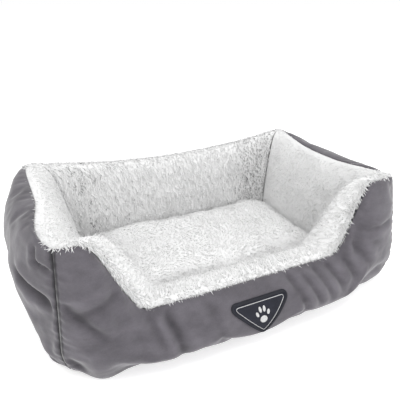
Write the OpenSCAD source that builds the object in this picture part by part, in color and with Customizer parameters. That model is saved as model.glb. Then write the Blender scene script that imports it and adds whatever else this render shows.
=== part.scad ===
// Rectangular bolster bed for a small pet.
// Four filled walls stand on a flat base, with a low entry in the front wall.
// A loose cushion lies inside, and a zip in the back panel opens the filling.

/* [Bed] */
// Distance between the left and right corner seams at the floor
seam_width = 520; // [480:5:560]
// Distance between the front and back corner seams at the floor
seam_depth = 316; // [296:2:340]
// Height of the top seam at the corners
wall_height = 177; // [165:1:195]
// How far the corner seams lean inwards from the floor to the top
corner_lean = 13; // [6:1:18]
// How far the lowest edge of the panels tucks under
bottom_tuck = 12; // [4:1:16]

/* [Front entry] */
// How far the front wall dips below its corners
entry_dip = 100; // [60:1:105]
// Share of the half width over which the entry lies level
entry_level = 0.55; // [0.4:0.01:0.6]
// Share of the half width where the dip starts, going in from the corners
entry_start = 0.86; // [0.82:0.01:0.94]
// How far the entry's middle lies toward the left end, as a share of the half width
entry_shift = 0.035; // [0:0.005:0.05]

/* [Walls] */
// How far the front wall's belly stands out
front_belly = 50; // [36:1:56]
// How far the other walls' bellies stand out
side_belly = 40; // [30:1:46]
// How far the walls stand out at the floor
foot_bow = 14.5; // [8:0.5:20]
// How far the top seams bow outwards
top_bow = 9; // [4:1:16]
// The same for the left wall, which leans out more
left_top_bow = 22; // [4:1:26]
// How far the middle of the back wall's top sags
back_sag = 24; // [0:1:32]
// How far the middle of the right wall's top sags
right_sag = 7; // [0:1:20]
// How far the plush rises above the top seam
plush_crown = 9; // [6:0.5:12]

/* [Cloth] */
// Thickness of the outer cloth with its backing
panel_cloth = 1.6; // [1:0.1:2.5]
// Depth of the plush, cloth and pile together
plush_pile = 6; // [4:0.5:8]
// Thickness of the anti-slip cloth under the bed
base_cloth = 1.5; // [1:0.1:2]

/* [Cushion] */
// Width of the cushion's space between the walls
well_width = 372; // [340:2:390]
// Depth of the cushion's space between the walls
well_depth = 208; // [190:2:216]
// Height at which the cushion's top meets the walls
crease_height = 48; // [42:1:54]
// Height of the cushion's crown above the floor
cushion_top = 64; // [56:1:70]
// Height of the seam round the cushion's side
cushion_seam = 31; // [28:1:36]
// Corner radius of the cushion
cushion_corner = 34; // [20:1:50]
// Thickness of the foam sewn into the base
foam_pad = 9; // [6:1:12]

/* [Badge] */
// Width of the triangular badge
badge_width = 82; // [60:1:100]
// Height of the badge
badge_height = 45; // [30:1:48]
// Radius of the badge's corners
badge_corner = 6.5; // [5:0.5:9]
// Sideways place of the badge's middle
badge_x = -9.5; // [-20:1:20]
// Height of the badge's top edge
badge_top = 67; // [56:1:69]

/* [Zip] */
// Length of the zip's chain
zip_length = 200; // [140:10:220]
// Height of the zip above the floor
zip_height = 58; // [54:1:62]
// Width of the closed chain
chain_width = 4.4; // [3:0.1:6]
// Width of one zip tape
tape_width = 10; // [8:0.5:14]
// Length of the pull tab
pull_length = 26; // [18:1:34]

/* [Hidden] */

suede = [0.42, 0.40, 0.43];
plush = [0.92, 0.92, 0.91];
padding = [0.97, 0.97, 0.95];
navy = [0.15, 0.15, 0.20];

gap = 0.3;          // air between neighbouring pieces
filling_gap = 3.8;  // air between the filling and the cloth round it
end_gap = 0.6;      // half of the air between two walls at a corner
tuck_zone = 0.28;   // share of the height in which the bottom edge tucks under
seam_inset = panel_cloth + 0.4;
half_w = seam_width / 2;
half_d = seam_depth / 2;
well_w = well_width / 2;
well_d = well_depth / 2;
floor_z = base_cloth + gap;

// Zip: distances that end in _out are measured outwards from the back panel
tape_out = 0.5;
tape_cloth = 0.6;
chain_out = tape_out + tape_cloth + 0.1;
chain_high = 1.8;
slider_long = 11;
slider_out = tape_out + tape_cloth + gap;
channel_wall = 1.6;
slider_top = chain_out + chain_high + gap + 1.4;
pin_out = slider_top + 2;
pin_r = 0.9;
eye_r = 1;
arch_w = 2.2;
arch_r = 2.4;
closed_x = zip_length / 2 - slider_long / 2 - 1;

// Badge: distances that end in _out are measured outwards from the front panel
cloth_out = 0.8;
border_out = 3;
border_width = 3.6;
badge_middle = [badge_x, badge_top - badge_height * 0.4];

// The four walls, counted round the bed from the front
FRONT = 0;
RIGHT = 1;
BACK = 2;
LEFT = 3;
belly = [front_belly, side_belly, side_belly, side_belly];
bow_at_top = [top_bow, top_bow, top_bow, left_top_bow];
sag = [0, right_sag, back_sag, 0];
// Below 1 the belly hangs lower
belly_height = [1, 1, 0.75, 1];

function along_x(wall) = wall == FRONT || wall == BACK;
function clamp01(a) = min(max(a, 0), 1);
function smooth(a) = let (b = clamp01(a)) b * b * (3 - 2 * b);
function steps(n) = [for (i = [0:n]) i / n];

// How far a wall's outer cloth reaches from the middle of the seams
function reach(wall) = max([
    for (u = along(wall, wall_steps(wall))) for (t = panel_heights(wall))
        half_out(wall, top_z(wall, u) * t) + bow(wall, u, t)
]);

// The origin lies midway between the left and right bellies, and between the
// badge's border in front and the zip slider behind
badge_reach = max([for (p = badge_at(0)) face_at(FRONT, p[0], p[1])]) + border_out;
zip_reach = face_at(BACK, 0, zip_height) + pin_out + arch_r;
middle = [
    (reach(LEFT) - reach(RIGHT)) / 2,
    (max(reach(FRONT), badge_reach) - zip_reach) / 2
];

// Turns a wall's own (along, outwards, up) into the bed's X, Y, Z
function place(wall, l, n, z) =
    wall == FRONT ? [middle[0] + l, middle[1] - n, z] :
    wall == RIGHT ? [middle[0] + n, middle[1] + l, z] :
    wall == BACK ? [middle[0] - l, middle[1] + n, z] :
    [middle[0] - n, middle[1] - l, z];

// Height of the top seam; u runs from -1 to 1 along the wall
function top_z(wall, u) =
    wall == FRONT
        ? wall_height - entry_dip * smooth((entry_start - abs(u + entry_shift)) / (entry_start - entry_level))
        : wall_height - sag[wall] * (1 - u * u);

function inset_at(z) =
    let (f = z / wall_height, under = max(0, 1 - f / tuck_zone))
    corner_lean * f + bottom_tuck * under * under;

// How far the wall stands out at (u, t); t runs from 0 at the floor to 1 at the top seam
function bow(wall, u, t) =
    let (
        low = foot_bow * (1 - t) + bow_at_top[wall] * t,
        mid = belly[wall] - (foot_bow + bow_at_top[wall]) / 2,
        round_up = pow(max(0, sin(180 * pow(t, belly_height[wall]))), 0.8)
    )
    (low + mid * round_up) * (1 - pow(abs(u), 3));

function half_along(wall, z) = (along_x(wall) ? half_w : half_d) - inset_at(z);
function half_out(wall, z) = (along_x(wall) ? half_d : half_w) - inset_at(z);

// A point d inside the outer cloth's face
function outer_point(wall, u, t, d) =
    let (z = top_z(wall, u) * t)
    place(wall, u * (half_along(wall, z) - d), half_out(wall, z) + bow(wall, u, t) - d, z);

// The outer face's distance from the middle at a given sideways place and height
function face_at(wall, l, z) =
    let (u = l / half_along(wall, z))
    half_out(wall, z) + bow(wall, u, z / top_z(wall, u));

// The plush runs from the top seam over the wall and down to the crease, as a Bezier curve
function bezier(p, s) =
    let (r = 1 - s)
    r * r * r * p[0] + 3 * r * r * s * p[1] + 3 * r * s * s * p[2] + s * s * s * p[3];
function bezier_slope(p, s) =
    let (r = 1 - s)
    3 * (r * r * (p[1] - p[0]) + 2 * r * s * (p[2] - p[1]) + s * s * (p[3] - p[2]));

function plush_controls(wall, u) =
    let (
        z0 = top_z(wall, u),
        n0 = half_out(wall, z0) + bow(wall, u, 1) - seam_inset,
        nc = along_x(wall) ? well_d : well_w,
        w = n0 - nc,
        h = z0 - crease_height
    )
    [
        [n0, z0],
        [n0 - 0.55 * w, z0 + plush_crown],
        [nc + 0.3 * w * h / (wall_height - crease_height), z0 + plush_crown - 0.16 * h],
        [nc, crease_height]
    ];

// A point d inside the plush's face; past s = 1 it runs straight down to the floor
function plush_point(wall, u, s, d) =
    let (
        c = plush_controls(wall, u),
        p = bezier(c, min(s, 1)),
        slope = bezier_slope(c, min(s, 1)),
        normal = [-slope[1], slope[0]] / norm(slope),
        n = s > 1 ? c[3][0] + d : p[0] + d * normal[0],
        z = s > 1 ? crease_height + (s - 1) * (floor_z - crease_height) : p[1] + d * normal[1],
        share = (n - c[3][0]) / (c[0][0] - c[3][0]),
        l_crease = along_x(wall) ? well_w : well_d,
        l_seam = half_along(wall, c[0][1]) - seam_inset
    )
    place(wall, u * (l_crease + share * (l_seam - l_crease)), n, z);

// Closed solid through rings of points; each ring is an outer curve and then an
// inner curve walked backwards, so that a ladder of triangles closes both ends
module swept(rings) {
    m = len(rings[0]);
    half = m / 2;
    last = len(rings) - 1;
    points = [for (ring = rings) for (p = ring) p];
    // Faces that lie against each other in two pieces are split the same way
    sides = [
        for (i = [0:last - 1]) for (j = [0:m - 1])
            let (a = i * m + j, b = i * m + (j + 1) % m)
            each j < half - 1
                ? [[a, a + m, b], [b, a + m, b + m]]
                : [[a, a + m, b + m], [a, b + m, b]]
    ];
    first_end = [
        for (j = [0:half - 2])
            each [[j, j + 1, m - 1 - j], [j + 1, m - 2 - j, m - 1 - j]]
    ];
    last_end = [for (f = first_end) [for (k = [2, 1, 0]) f[k] + last * m]];
    polyhedron(points, concat(sides, first_end, last_end));
}

function along(wall, n) =
    let (e = 1 - end_gap / (along_x(wall) ? half_w : half_d))
    [for (i = [0:n]) -e + 2 * e * i / n];
function wall_steps(wall) = wall == FRONT ? 36 : 12;

// Shares of the height at which the outer cloth has its points
function panel_heights(wall) =
    let (low = gap / wall_height)
    [for (a = steps(7)) low + (1 - low) * a];

// Outer cloth
module wall_panel(wall) {
    heights = panel_heights(wall);
    color(suede)
    swept([
        for (u = along(wall, wall_steps(wall)))
            concat(
                [for (t = heights) outer_point(wall, u, t, 0)],
                [for (k = [7:-1:0]) outer_point(wall, u, heights[k], panel_cloth)]
            )
    ]);
}

// Plush over the top and down the inner face
module wall_plush(wall) {
    places = [0, 0.1, 0.22, 0.36, 0.5, 0.66, 0.83, 1, 2];
    color(plush)
    swept([
        for (u = along(wall, wall_steps(wall)))
            concat(
                [for (k = [8:-1:0]) plush_point(wall, u, places[k], plush_pile)],
                [for (s = places) plush_point(wall, u, s, 0)]
            )
    ]);
}

// The point at height z on the line from a to b
function at_height(a, b, z) = a + (b - a) * (z - a[2]) / (b[2] - a[2]);

// Fibre filling between the outer cloth and the plush
module wall_filling(wall) {
    cloth = panel_cloth + filling_gap;
    pile = plush_pile + filling_gap;
    seam_gap = 2 * filling_gap;
    top_margin = plush_pile + 8;
    heights = panel_heights(wall);
    places = [0.1, 0.22, 0.36, 0.5, 0.66, 0.83, 1, 2];
    color(padding)
    swept([
        for (u = along(wall, wall_steps(wall)))
            let (
                face = [for (t = heights) outer_point(wall, u, t, cloth)],
                top = outer_point(wall, u, 1, 2 * cloth)
            )
            concat(
                [at_height(face[0], face[1], floor_z)],
                [for (k = [1:6]) face[k]],
                [at_height(face[6], top, top[2] - min(top_margin, top[2] / 8))],
                [plush_point(wall, u, places[0], pile + seam_gap)],
                [for (k = [1:7]) plush_point(wall, u, places[k], pile)]
            )
    ]);
}

// Sheet under the whole bed, sewn to the feet of the four panels
module base_cloth_panel() {
    inset = panel_cloth + gap;
    outline = [
        for (wall = [FRONT:LEFT]) for (i = [0:11])
            let (p = outer_point(wall, -1 + i / 6, 0, inset)) [p[0], p[1]]
    ];
    color(suede * 0.6)
    linear_extrude(base_cloth) polygon(outline);
}

function rounded_outline(w, d, r) = [
    for (corner = [[1, -1, 270], [1, 1, 0], [-1, 1, 90], [-1, -1, 180]]) for (a = [0:15:90])
        [
            corner[0] * (w - r) + r * cos(corner[2] + a),
            corner[1] * (d - r) + r * sin(corner[2] + a)
        ]
];

module floor_slab(z, thickness) {
    translate([middle[0], middle[1], z])
    linear_extrude(thickness) polygon(rounded_outline(well_w - 1, well_d - 1, 10));
}

lining_z = floor_z + foam_pad + gap;
lining_cloth = 1;

module base_foam_pad() {
    color(padding) floor_slab(floor_z, foam_pad);
}

module floor_lining() {
    color(suede * 0.8) floor_slab(lining_z, lining_cloth);
}

// Cushion: rings of a rounded rectangle, from the side seam in to the middle
cushion_low = lining_z + lining_cloth + gap;
cushion_gap = 0.6;
under_cloth = 1.5;

// side is 1 for the upper half and -1 for the lower one; d is the depth below the face
function cushion_ring(side, r, d) =
    let (
        rise = (side > 0 ? cushion_top - cushion_seam : cushion_seam - cushion_low) - d,
        bend = side > 0 ? 5 : 9,
        z = cushion_seam + side * (0.5 * gap + rise * sqrt(1 - pow(r, bend)))
    )
    [
        for (p = rounded_outline(well_w - cushion_gap - d, well_d - cushion_gap - d, cushion_corner))
            [middle[0] + p[0] * r, middle[1] + p[1] * r, z]
    ];

// Closed solid through rings, with a flat ring closed to a point at each end
module closed_rings(rings) {
    m = len(rings[0]);
    last = len(rings) - 1;
    function middle(ring) = [for (k = [0:2]) [for (p = ring) p[k]] * [for (p = ring) 1] / m];
    points = concat([for (ring = rings) each ring], [middle(rings[0]), middle(rings[last])]);
    count = m * (last + 1);
    sides = [
        for (i = [0:last - 1]) for (j = [0:m - 1])
            let (a = i * m + j, b = i * m + (j + 1) % m)
            each [[a, a + m, b], [b, a + m, b + m]]
    ];
    first_end = [for (j = [0:m - 1]) [count, j, (j + 1) % m]];
    last_end = [for (j = [0:m - 1]) [count + 1, last * m + (j + 1) % m, last * m + j]];
    polyhedron(points, concat(sides, first_end, last_end));
}

ring_shares = [0.3, 0.6, 0.8, 0.92, 0.98, 1];

module cushion_cover(side, cloth) {
    outer = [for (r = ring_shares) cushion_ring(side, r, 0)];
    inner = [for (k = [5:-1:0]) cushion_ring(side, ring_shares[k], cloth)];
    shell = concat(outer, inner);
    if (side > 0) closed_rings(shell);
    else closed_rings([for (k = [11:-1:0]) shell[k]]);
}

module cushion_plush_cover() {
    color(plush) cushion_cover(1, plush_pile);
}

module cushion_under_cover() {
    color(suede) cushion_cover(-1, under_cloth);
}

module cushion_filling() {
    d = plush_pile + gap;
    upper = [for (r = ring_shares) cushion_ring(1, r, d)];
    lower = [for (k = [5:-1:0]) cushion_ring(-1, ring_shares[k], d)];
    color(padding) closed_rings(concat(upper, lower));
}

// Badge: pieces of cloth that follow the front panel
function front_skin(p, out) =
    [middle[0] + p[0], middle[1] - face_at(FRONT, p[0], p[1]) - out, p[1]];

module on_front(outline, centre, shares, low, high) {
    function ring(share, out) =
        [for (p = outline) front_skin(centre + share * (p - centre), out)];
    last = len(shares) - 1;
    closed_rings(concat(
        [for (share = shares) ring(share, high)],
        [for (k = [last:-1:0]) ring(shares[k], low)]
    ));
}

// Triangle with its point down and its corners rounded by radius r
function badge_outline(w, h, r) =
    let (
        centres = [[w / 2 - r, -r], [0, r - h], [r - w / 2, -r]],
        slant = atan2(h - 2 * r, w / 2 - r),
        arcs = [[90, slant - 90], [slant - 90, -90 - slant], [-90 - slant, -270]]
    )
    [
        for (k = [0:2])
            let (
                arc = [
                    for (i = [0:5])
                        let (a = arcs[k][0] + (arcs[k][1] - arcs[k][0]) * i / 5)
                        centres[k] + r * [cos(a), sin(a)]
                ],
                edge = centres[(k + 1) % 3] - centres[k]
            )
            each concat(arc, [for (i = [1:5]) arc[5] + edge * i / 6])
    ];

// The badge's outline, drawn in by inset
function badge_at(inset) =
    let (outline = badge_outline(badge_width - 2 * inset, badge_height - 2 * inset, badge_corner - inset))
    [for (p = outline) [badge_x + p[0], badge_top - inset + p[1]]];

module badge_cloth() {
    color(navy)
    on_front(badge_at(border_width + 0.2), badge_middle, [0.3, 0.65, 1], cloth_out, cloth_out + 1.1);
}

module badge_border() {
    outer = badge_at(0);
    inner = badge_at(border_width);
    ring_of = [[outer, cloth_out], [outer, border_out], [inner, border_out], [inner, cloth_out]];
    m = len(outer);
    points = [for (r = ring_of) for (p = r[0]) front_skin(p, r[1])];
    color(navy * 0.6)
    polyhedron(points, [
        for (i = [0:3]) for (j = [0:m - 1])
            let (a = i * m + j, b = i * m + (j + 1) % m, c = ((i + 1) % 4) * m)
            each [[a, b, c + j], [b, c + (j + 1) % m, c + j]]
    ]);
}

module badge_paw() {
    low = cloth_out + 1.5;
    ovals = [
        [[0, -3.4], [7, 5.4]],
        [[-8.4, 4.2], [2.3, 3]], [[-3.2, 8.4], [2.3, 3]],
        [[3.2, 8.4], [2.3, 3]], [[8.4, 4.2], [2.3, 3]]
    ];
    color(plush)
    for (oval = ovals) {
        c = badge_middle + oval[0];
        outline = [for (a = [0:-30:-330]) c + [oval[1][0] * cos(a), oval[1][1] * sin(a)]];
        on_front(outline, c, [1], low, low + 0.7);
    }
}

// Zip: local X along the zip, Y out of the panel, Z up
module on_back() {
    translate([middle[0], middle[1] + face_at(BACK, 0, zip_height), zip_height]) children();
}

module block(low, high) {
    translate(low) cube(high - low);
}

module zip_tape(z_low) {
    color(suede * 0.7)
    on_back() block(
        [-zip_length / 2 - 8, tape_out, z_low],
        [zip_length / 2 + 8, tape_out + tape_cloth, z_low + tape_width]
    );
}

module zip_tape_upper() { zip_tape(gap / 2); }
module zip_tape_lower() { zip_tape(-gap / 2 - tape_width); }

// The two rows of the closed chain
module zip_chain() {
    row_r = chain_high / 2;
    color(navy)
    on_back()
    for (side = [-1, 1]) hull() for (z = [row_r + gap / 2, chain_width / 2 - row_r])
        translate([-zip_length / 2, chain_out + row_r, side * z])
            rotate([0, 90, 0]) cylinder(h = zip_length, r = row_r, $fn = 12);
}

module zip_end_stops() {
    color("silver")
    on_back() for (side = [-1, 1])
        translate([side * (zip_length / 2 + 1.8), 0, 0])
            block([-1.5, chain_out, -chain_width / 2], [1.5, chain_out + 2.2, chain_width / 2]);
}

module zip_slider() {
    half_in = chain_width / 2 + gap;
    half_z = half_in + channel_wall;
    half_x = slider_long / 2;
    color("silver")
    on_back() translate([closed_x, 0, 0])
    difference() {
        union() {
            block([-half_x, slider_out, -half_z], [half_x, slider_top, half_z]);
            translate([0, pin_out, -arch_w / 2]) cylinder(h = arch_w, r = arch_r, $fn = 48);
            block([-arch_r, slider_top - 0.5, -arch_w / 2], [arch_r, pin_out, arch_w / 2]);
        }
        block([-half_x - 1, slider_out - 1, -half_in], [half_x + 1, slider_top - 1.4, half_in]);
        translate([0, pin_out, -arch_w]) cylinder(h = arch_w * 2, r = eye_r, $fn = 48);
    }
}

module zip_pull() {
    arm_in = arch_w / 2 + gap;
    arm_out = arm_in + 1.3;
    thick = 1.5;
    tab_from = 3.4;
    color("silver")
    on_back() translate([closed_x, pin_out, 0]) {
        translate([0, 0, -arm_out]) cylinder(h = 2 * arm_out, r = pin_r, $fn = 48);
        for (side = [-1, 1])
            block(
                [-tab_from - 1, -thick / 2, side > 0 ? arm_in : -arm_out],
                [0, thick / 2, side > 0 ? arm_out : -arm_in]
            );
        difference() {
            union() {
                block([-pull_length, -thick / 2, -arm_out], [-tab_from, thick / 2, arm_out]);
                translate([-pull_length, thick / 2, 0]) rotate([90, 0, 0])
                    cylinder(h = thick, r = arm_out, $fn = 48);
            }
            translate([-pull_length, thick, 0]) rotate([90, 0, 0])
                cylinder(h = 2 * thick, r = 1.2, $fn = 32);
        }
    }
}

module front_panel() { wall_panel(FRONT); }
module right_panel() { wall_panel(RIGHT); }
module back_panel() { wall_panel(BACK); }
module left_panel() { wall_panel(LEFT); }
module front_plush() { wall_plush(FRONT); }
module right_plush() { wall_plush(RIGHT); }
module back_plush() { wall_plush(BACK); }
module left_plush() { wall_plush(LEFT); }
module front_filling() { wall_filling(FRONT); }
module right_filling() { wall_filling(RIGHT); }
module back_filling() { wall_filling(BACK); }
module left_filling() { wall_filling(LEFT); }

base_cloth_panel();
base_foam_pad();
floor_lining();
front_panel();
right_panel();
back_panel();
left_panel();
front_plush();
right_plush();
back_plush();
left_plush();
front_filling();
right_filling();
back_filling();
left_filling();
badge_cloth();
badge_border();
badge_paw();
zip_tape_upper();
zip_tape_lower();
zip_chain();
zip_end_stops();
zip_slider();
zip_pull();
cushion_plush_cover();
cushion_under_cover();
cushion_filling();
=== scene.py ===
# %% [markdown]
# # A small pet's bed in suede-look cloth and plush
# The bed is four filled walls on a flat base, with a low entry in front and a loose
# cushion inside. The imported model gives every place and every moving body. This lesson
# sews the cloth over it: panels with folds, plush with a real pile, a badge and a zip.

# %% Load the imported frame
import math

import bmesh
import bpy
from mathutils import Matrix, Vector, noise
from mathutils.bvhtree import BVHTree


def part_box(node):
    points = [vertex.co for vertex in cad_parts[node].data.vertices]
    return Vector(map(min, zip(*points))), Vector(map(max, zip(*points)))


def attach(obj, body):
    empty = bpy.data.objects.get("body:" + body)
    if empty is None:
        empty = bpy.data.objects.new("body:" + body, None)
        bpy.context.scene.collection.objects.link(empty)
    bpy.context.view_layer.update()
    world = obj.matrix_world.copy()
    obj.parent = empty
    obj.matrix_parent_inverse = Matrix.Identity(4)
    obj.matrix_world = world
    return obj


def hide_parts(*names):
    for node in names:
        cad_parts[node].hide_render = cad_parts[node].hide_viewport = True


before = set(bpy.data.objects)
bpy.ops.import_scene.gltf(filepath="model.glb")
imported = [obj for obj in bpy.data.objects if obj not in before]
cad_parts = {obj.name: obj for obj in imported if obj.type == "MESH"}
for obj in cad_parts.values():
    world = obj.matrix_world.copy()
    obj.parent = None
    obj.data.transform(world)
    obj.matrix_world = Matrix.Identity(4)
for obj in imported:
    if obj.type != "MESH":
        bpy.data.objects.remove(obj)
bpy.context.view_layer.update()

scene = bpy.context.scene

# %% [markdown]
# ## Camera, light and floor
# The bed is shown as in a catalogue: white all round, seen from a little above the front
# left corner, with four large soft lights that leave only a faint shadow. The lens is a
# short one, so that the near corner looks large. The base cloth's box gives the middle.

# %% The middle of the bed and the camera
base_low, base_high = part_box("base_cloth_panel")
MIDDLE = Vector(((base_low.x + base_high.x) / 2, (base_low.y + base_high.y) / 2, 0))

LENS, SENSOR = 38.14, 36.0                      # mm
CAMERA_PLACE = (-0.2694, -0.5524, 0.4097)       # metres from the middle of the bed
CAMERA_PITCH, CAMERA_HEADING = 65.14, -25.56    # degrees
camera_data = bpy.data.cameras.new("camera")
camera_data.lens, camera_data.sensor_width = LENS, SENSOR
camera = bpy.data.objects.new("camera", camera_data)
camera.location = MIDDLE + Vector(CAMERA_PLACE)
camera.rotation_euler = (math.radians(CAMERA_PITCH), 0, math.radians(CAMERA_HEADING))
scene.collection.objects.link(camera)
scene.camera = camera
scene.view_settings.view_transform = "Standard"


# %% Soft lights
def area_light(name, place, size, power):
    data = bpy.data.lights.new(name, "AREA")
    data.shape = "RECTANGLE"
    data.size, data.size_y = size
    data.energy = power
    lamp = bpy.data.objects.new(name, data)
    lamp.location = place
    lamp.rotation_euler = (MIDDLE - Vector(place)).to_track_quat("-Z", "Y").to_euler()
    scene.collection.objects.link(lamp)


area_light("key_softbox", (-1.4, -0.05, 1.5), (1.1, 1.1), 8)
area_light("fill_softbox", (1.8, -1.3, 1.0), (1.0, 1.0), 13)
area_light("top_softbox", (0.1, -0.3, 1.9), (1.6, 1.2), 16)
area_light("front_softbox", (-0.3, -1.9, 1.0), (1.2, 0.8), 15)

SKY_STRENGTH = 0.66
world = bpy.data.worlds.new("studio")
world.use_nodes = True
sky = world.node_tree
sky_light = sky.nodes["Background"]
sky_light.inputs["Color"].default_value = (1, 1, 1, 1)
sky_light.inputs["Strength"].default_value = SKY_STRENGTH
white_wall = sky.nodes.new("ShaderNodeBackground")
white_wall.inputs["Color"].default_value = (1, 1, 1, 1)
seen = sky.nodes.new("ShaderNodeLightPath")
either = sky.nodes.new("ShaderNodeMixShader")
sky.links.new(seen.outputs["Is Camera Ray"], either.inputs[0])
sky.links.new(sky_light.outputs[0], either.inputs[1])
sky.links.new(white_wall.outputs[0], either.inputs[2])
sky.links.new(either.outputs[0], sky.nodes["World Output"].inputs["Surface"])
scene.world = world

# %% A pale floor
FLOOR_HALF = 400        # metres, so that no edge of it shows
floor_mesh = bpy.data.meshes.new("studio_floor")
sheet = bmesh.new()
bmesh.ops.create_grid(sheet, x_segments=1, y_segments=1, size=FLOOR_HALF)
sheet.to_mesh(floor_mesh)
sheet.free()
floor = bpy.data.objects.new("studio_floor", floor_mesh)
scene.collection.objects.link(floor)
floor_paint = bpy.data.materials.new("floor_paint")
floor_paint.use_nodes = True
floor_shader = floor_paint.node_tree.nodes["Principled BSDF"]
floor_shader.inputs["Base Color"].default_value = (0.93, 0.93, 0.93, 1)
floor_shader.inputs["Roughness"].default_value = 0.9
floor_shader.inputs["Emission Color"].default_value = (1, 1, 1, 1)
floor_shader.inputs["Emission Strength"].default_value = 0.40
floor_mesh.materials.append(floor_paint)
print("camera, four lights and a floor")

# %% [markdown]
# ## The shape of a filled wall
# Every wall is one section carried along the wall. Outside, the section bellies out
# between the floor and the top seam. Inside, the plush runs over the top and down to the
# crease where the cushion meets it. `u` runs along a wall from -1 to 1, `t` up the outer
# cloth from 0 to 1, and `s` along the plush from the seam at 0 to the crease at 1.
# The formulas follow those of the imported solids, so that the cloth lies where they are.
# Two numbers differ: the foot tucks under by 14 mm here and by 12 mm in the solids, and
# the left wall's belly is 41 mm here and 40 mm there.

# %% Driving sizes, in metres
FRONT, RIGHT, BACK, LEFT = range(4)
SIDES = ("front", "right", "back", "left")
SEAM_HALF_X, SEAM_HALF_Y = 0.260, 0.158
WALL_HEIGHT = 0.177
CORNER_LEAN = 0.013
BOTTOM_TUCK = 0.014
TUCK_ZONE = 0.28
ENTRY_DIP = 0.100
ENTRY_LEVEL, ENTRY_START, ENTRY_SHIFT = 0.55, 0.86, 0.035
BELLY = (0.050, 0.040, 0.040, 0.041)
FOOT_BOW = 0.0145
TOP_BOW = (0.009, 0.009, 0.009, 0.022)
SAG = (0.0, 0.007, 0.024, 0.0)
BELLY_HEIGHT = (1.0, 1.0, 0.75, 1.0)
CREASE_HEIGHT = 0.048
PLUSH_CROWN = 0.009
PANEL_CLOTH = 0.0016
lining_low, lining_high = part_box("floor_lining")
WELL_X = (lining_high.x - lining_low.x) / 2 + 0.001
WELL_Y = (lining_high.y - lining_low.y) / 2 + 0.001
FLOOR_TOP = lining_high.z


# %% Formulas of the section
def smooth(a):
    a = min(max(a, 0.0), 1.0)
    return a * a * (3 - 2 * a)


def along_x(wall):
    return wall in (FRONT, BACK)


def top_height(wall, u):
    if wall == FRONT:
        dip = smooth((ENTRY_START - abs(u + ENTRY_SHIFT)) / (ENTRY_START - ENTRY_LEVEL))
        return WALL_HEIGHT - ENTRY_DIP * dip
    return WALL_HEIGHT - SAG[wall] * (1 - u * u)


def inset(z):
    share = z / WALL_HEIGHT
    return CORNER_LEAN * share + BOTTOM_TUCK * max(0.0, 1 - share / TUCK_ZONE) ** 2


def bow(wall, u, t):
    low = FOOT_BOW * (1 - t) + TOP_BOW[wall] * t
    mid = BELLY[wall] - (FOOT_BOW + TOP_BOW[wall]) / 2
    rounding = max(0.0, math.sin(math.pi * t ** BELLY_HEIGHT[wall])) ** 0.8
    return (low + mid * rounding) * (1 - abs(u) ** 3)


def half_along(wall, z):
    return (SEAM_HALF_X if along_x(wall) else SEAM_HALF_Y) - inset(z)


def half_out(wall, z):
    return (SEAM_HALF_Y if along_x(wall) else SEAM_HALF_X) - inset(z)


def turn(wall, along, out, z):
    flat = ((along, -out), (out, along), (-along, out), (-out, -along))[wall]
    return MIDDLE + Vector((flat[0], flat[1], z))


def outward(wall):
    return Vector(((0, -1, 0), (1, 0, 0), (0, 1, 0), (-1, 0, 0))[wall])


def plush_section(wall, u):
    z0 = top_height(wall, u)
    n0 = half_out(wall, z0) + bow(wall, u, 1) - 0.002
    nc = WELL_Y if along_x(wall) else WELL_X
    w, h = n0 - nc, z0 - CREASE_HEIGHT
    knee = 0.3 * w * h / (WALL_HEIGHT - CREASE_HEIGHT)
    return (
        (n0, z0),
        (n0 - 0.55 * w, z0 + PLUSH_CROWN),
        (nc + knee, z0 + PLUSH_CROWN - 0.16 * h),
        (nc, CREASE_HEIGHT),
    )


def plush_point(wall, u, s):
    c = plush_section(wall, u)
    a = min(s, 1.0)
    r = 1 - a
    n, z = (
        r * r * r * c[0][k] + 3 * r * r * a * c[1][k] + 3 * r * a * a * c[2][k] + a * a * a * c[3][k]
        for k in (0, 1)
    )
    if s > 1:
        z = CREASE_HEIGHT + (s - 1) * (FLOOR_TOP - CREASE_HEIGHT)
    share = (n - c[3][0]) / (c[0][0] - c[3][0])
    crease = WELL_X if along_x(wall) else WELL_Y
    seam = half_along(wall, c[0][1]) - 0.002
    return turn(wall, u * (crease + share * (seam - crease)), n, z)


print("height at the entry:", round(top_height(FRONT, 0), 4))


# %% [markdown]
# ## Small helpers
# A piece starts as a bmesh. `sheet_piece` makes a grid, carries each of its points to a
# place by a formula, and returns the finished object. Modifiers that thicken or smooth it
# use the same level in the view and in the render.

# %% Helpers for pieces
def make_object(name, bm):
    mesh = bpy.data.meshes.new(name)
    bm.to_mesh(mesh)
    bm.free()
    mesh.polygons.foreach_set("use_smooth", [True] * len(mesh.polygons))
    piece = bpy.data.objects.new(name, mesh)
    scene.collection.objects.link(piece)
    return piece


def sheet_piece(name, columns, rows, place):
    """A grid of columns by rows whose points (a, b), each from 0 to 1, go to place(a, b)."""
    bm = bmesh.new()
    bmesh.ops.create_grid(bm, x_segments=columns, y_segments=rows, size=0.5)
    uv = bm.loops.layers.uv.new("UVMap")
    for face in bm.faces:
        for loop in face.loops:
            loop[uv].uv = (loop.vert.co.x + 0.5, loop.vert.co.y + 0.5)
    for v in bm.verts:
        v.co = place(v.co.x + 0.5, v.co.y + 0.5)
    return make_object(name, bm)


def apply_modifiers(piece):
    with bpy.context.temp_override(object=piece, active_object=piece):
        for modifier in list(piece.modifiers):
            bpy.ops.object.modifier_apply(modifier=modifier.name)
    piece.data.polygons.foreach_set("use_smooth", [True] * len(piece.data.polygons))


def repeat(piece, count, step):
    """Adds a row of count copies of the piece, each a step further."""
    row = piece.modifiers.new("row", "ARRAY")
    row.count = count
    row.use_relative_offset = False
    row.use_constant_offset = True
    row.constant_offset_displace = step


def face_outwards(piece, direction_at):
    """Turns a sheet over if its faces look against direction_at(centre)."""
    agree = sum(f.normal.dot(direction_at(f.center)) for f in piece.data.polygons)
    if agree < 0:
        piece.data.flip_normals()


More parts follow.
